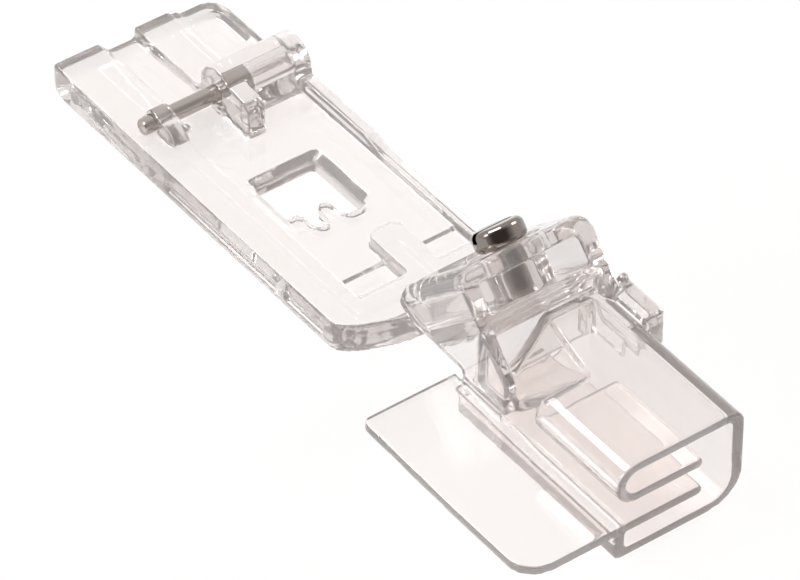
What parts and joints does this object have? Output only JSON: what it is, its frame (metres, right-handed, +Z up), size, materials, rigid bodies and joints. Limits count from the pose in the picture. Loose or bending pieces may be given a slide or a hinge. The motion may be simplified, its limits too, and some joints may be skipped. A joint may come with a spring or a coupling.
{
  "type": "sewing machine binder attachment",
  "caption": "Clear clip-on tape binder: flat foot with needle slot and a rising neck that carries a sliding scroll guide clamped by a slotted screw.",
  "frame": {"origin": "on the machine bed, on the foot's middle line, straight under the cross pin", "axes": "+X to the operator's right with the part in use, +Y from the toe back to the heel, +Z up from the bed"},
  "size_m": [0.0325, 0.1012, 0.0208],
  "materials": {
    "foot_plastic": "clear moulded, glossy",
    "guide_plastic": "clear moulded, glossy",
    "pin_steel": "drawn, bright",
    "screw_chrome": "polished"
  },
  "bodies": {
    "foot": {"foot_body": "foot_plastic", "snap_pin": "pin_steel"},
    "binder": {"binder_guide": "guide_plastic"},
    "screw": {"clamp_screw": "screw_chrome"}
  },
  "joints": [
    {"name": "binder_slide", "type": "slide", "parent": "foot", "child": "binder", "axis": [1, 0, 0], "range_m": [-0.00275, 0.00275]},
    {"name": "screw_turn", "type": "hinge", "parent": "foot", "child": "screw", "pos_m": [0.0024, -0.05197, 0.01719], "axis": [0, 0.6743, 0.7385], "continuous": true}
  ]
}
